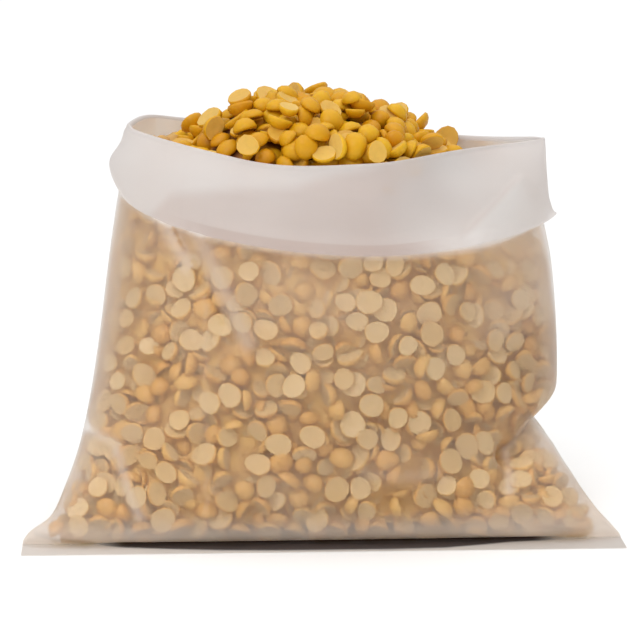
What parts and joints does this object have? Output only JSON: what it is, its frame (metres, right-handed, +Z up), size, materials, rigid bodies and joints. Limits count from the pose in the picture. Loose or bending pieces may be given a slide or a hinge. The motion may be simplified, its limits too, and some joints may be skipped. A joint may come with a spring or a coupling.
{
  "type": "open bag of split chickpeas",
  "caption": "Open milky plastic bag standing on its own contents, mouth turned down as a cuff, filled with dry split chickpeas that heap above the rim.",
  "frame": {"origin": "on the floor, below the middle of the bag's overall box", "axes": "+X to the right along the bag's bottom seal, +Y from the front to the back, +Z up"},
  "size_m": [0.179, 0.0999, 0.1334],
  "materials": {
    "film": "milky translucent polyethylene film, slightly crumpled",
    "peas": "dry hulled split pulses, satin, golden yellow with paler split faces"
  },
  "bodies": {
    "root": {"film_bag": "film", "split_peas": "peas"}
  },
  "joints": []
}
